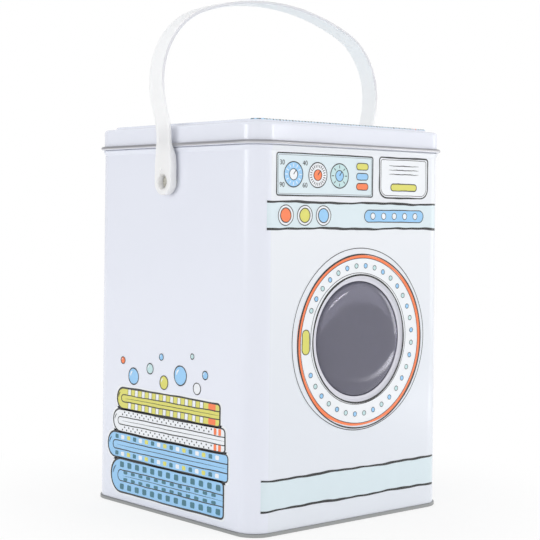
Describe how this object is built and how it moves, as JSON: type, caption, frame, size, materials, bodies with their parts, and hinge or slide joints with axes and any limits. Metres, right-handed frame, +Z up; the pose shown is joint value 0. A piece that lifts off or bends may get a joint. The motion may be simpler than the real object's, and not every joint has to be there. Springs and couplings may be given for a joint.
{
  "type": "laundry powder storage tin",
  "caption": "Square tinplate laundry powder tin with rounded corners, a lift-off lid, a round clear window in its printed front wall and a swinging white plastic carrying strap.",
  "frame": {"origin": "middle of the foot, on the surface the tin stands on", "axes": "+Z up through the lid, -Y out of the wall with the window, +X to the right seen from the front; the handle's pivot axis is along X"},
  "size_m": [0.1914, 0.1706, 0.3332],
  "materials": {
    "printed_tinplate": "gloss, white with printed bands and rings",
    "lid_tinplate": "gloss white",
    "bare_tinplate": "satin bare tinplate",
    "clear_plastic": "clear, polished",
    "translucent_plastic": "milky translucent, satin",
    "stud_steel": "satin zinc-plated"
  },
  "bodies": {
    "tin": {"body_wall": "printed_tinplate", "base_panel": "bare_tinplate", "window_pane": "clear_plastic", "window_ring": "bare_tinplate", "left_stud": "stud_steel", "right_stud": "stud_steel", "left_washer": "stud_steel", "right_washer": "stud_steel"},
    "lid": {"lid": "lid_tinplate"},
    "handle": {"handle": "translucent_plastic"}
  },
  "joints": [
    {"name": "handle_swing", "type": "hinge", "parent": "tin", "child": "handle", "pos_m": [0, 0, 0.2114], "axis": [1, 0, 0], "range_deg": [-120, 120]},
    {"name": "lid_lift", "type": "slide", "parent": "tin", "child": "lid", "axis": [0, 0, 1], "range_m": [0, 0.045]}
  ]
}
